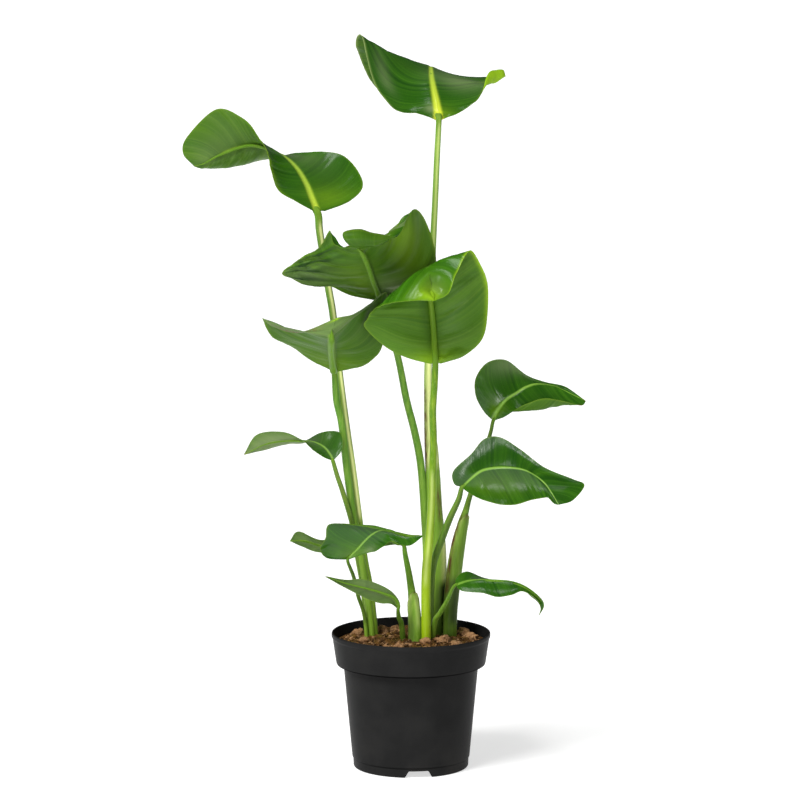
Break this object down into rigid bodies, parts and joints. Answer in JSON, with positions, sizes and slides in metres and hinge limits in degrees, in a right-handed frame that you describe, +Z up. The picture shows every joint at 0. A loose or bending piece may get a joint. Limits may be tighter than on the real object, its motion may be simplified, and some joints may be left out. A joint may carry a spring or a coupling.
{
  "type": "potted bird of paradise",
  "caption": "Young bird of paradise house plant with broad arching leaves on long stalks, standing in a round black nursery pot.",
  "frame": {"origin": "on the pot's axis, in the middle of the flat disc under the pot, which rests on the table", "axes": "+Z up along the pot's axis; -Y towards the viewer; +X to the viewer's right"},
  "size_m": [0.5269, 0.3017, 0.9639],
  "materials": {
    "pot": "satin",
    "potting_mix": "matte",
    "stalk": "satin",
    "young_stalk": "satin",
    "leaf": "satin",
    "leaf_underside": "satin"
  },
  "bodies": {
    "root": {"pot": "pot", "potting_mix": "potting_mix", "stalk_crown": "stalk", "blade_crown": "leaf", "stalk_upper_left": "stalk", "blade_upper_left": "leaf", "stalk_middle": "stalk", "blade_middle": "leaf_underside", "stalk_centre": "young_stalk", "blade_centre": "leaf_underside", "stalk_mid_left": "stalk", "blade_mid_left": "leaf_underside", "stalk_small_left": "stalk", "blade_small_left": "leaf", "stalk_low_left": "stalk", "blade_low_left": "leaf", "stalk_lowest_left": "stalk", "blade_lowest_left": "leaf_underside", "stalk_back_left": "stalk", "blade_back_left": "leaf_underside", "stalk_upper_right": "stalk", "blade_upper_right": "leaf", "stalk_mid_right": "stalk", "blade_mid_right": "leaf", "stalk_low_right": "stalk", "blade_low_right": "leaf"}
  },
  "joints": []
}
